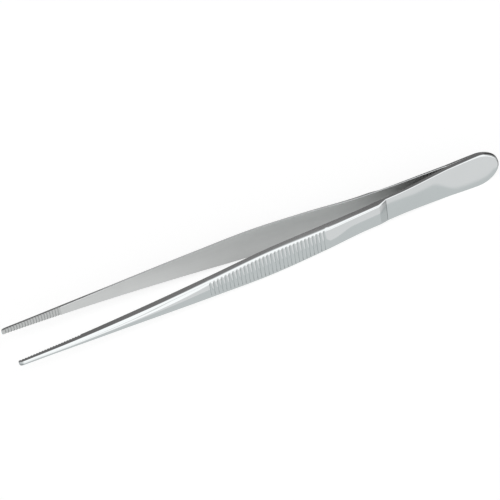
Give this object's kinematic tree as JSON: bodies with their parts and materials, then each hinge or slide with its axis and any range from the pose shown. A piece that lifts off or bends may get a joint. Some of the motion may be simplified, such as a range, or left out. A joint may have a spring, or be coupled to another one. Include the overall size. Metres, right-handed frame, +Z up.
{
  "type": "thumb forceps",
  "caption": "Slender steel thumb forceps with tapered serrated jaws, grooved finger grips and a welded rounded butt, for picking up and holding dressings and tissue.",
  "frame": {"origin": "under the middle of the bounding box, on the plane that the narrow edges rest on", "axes": "+X along the instrument from the jaws to the butt, +Y across the opening from the front arm to the rear arm, +Z up across the width of the arms"},
  "size_m": [0.146, 0.0166, 0.0108],
  "materials": {
    "polished_steel": "stainless steel, polished outer faces and butt, satin-ground inner faces and narrow sides"
  },
  "bodies": {
    "root": {"front_arm": "polished_steel", "rear_arm": "polished_steel"}
  },
  "joints": []
}
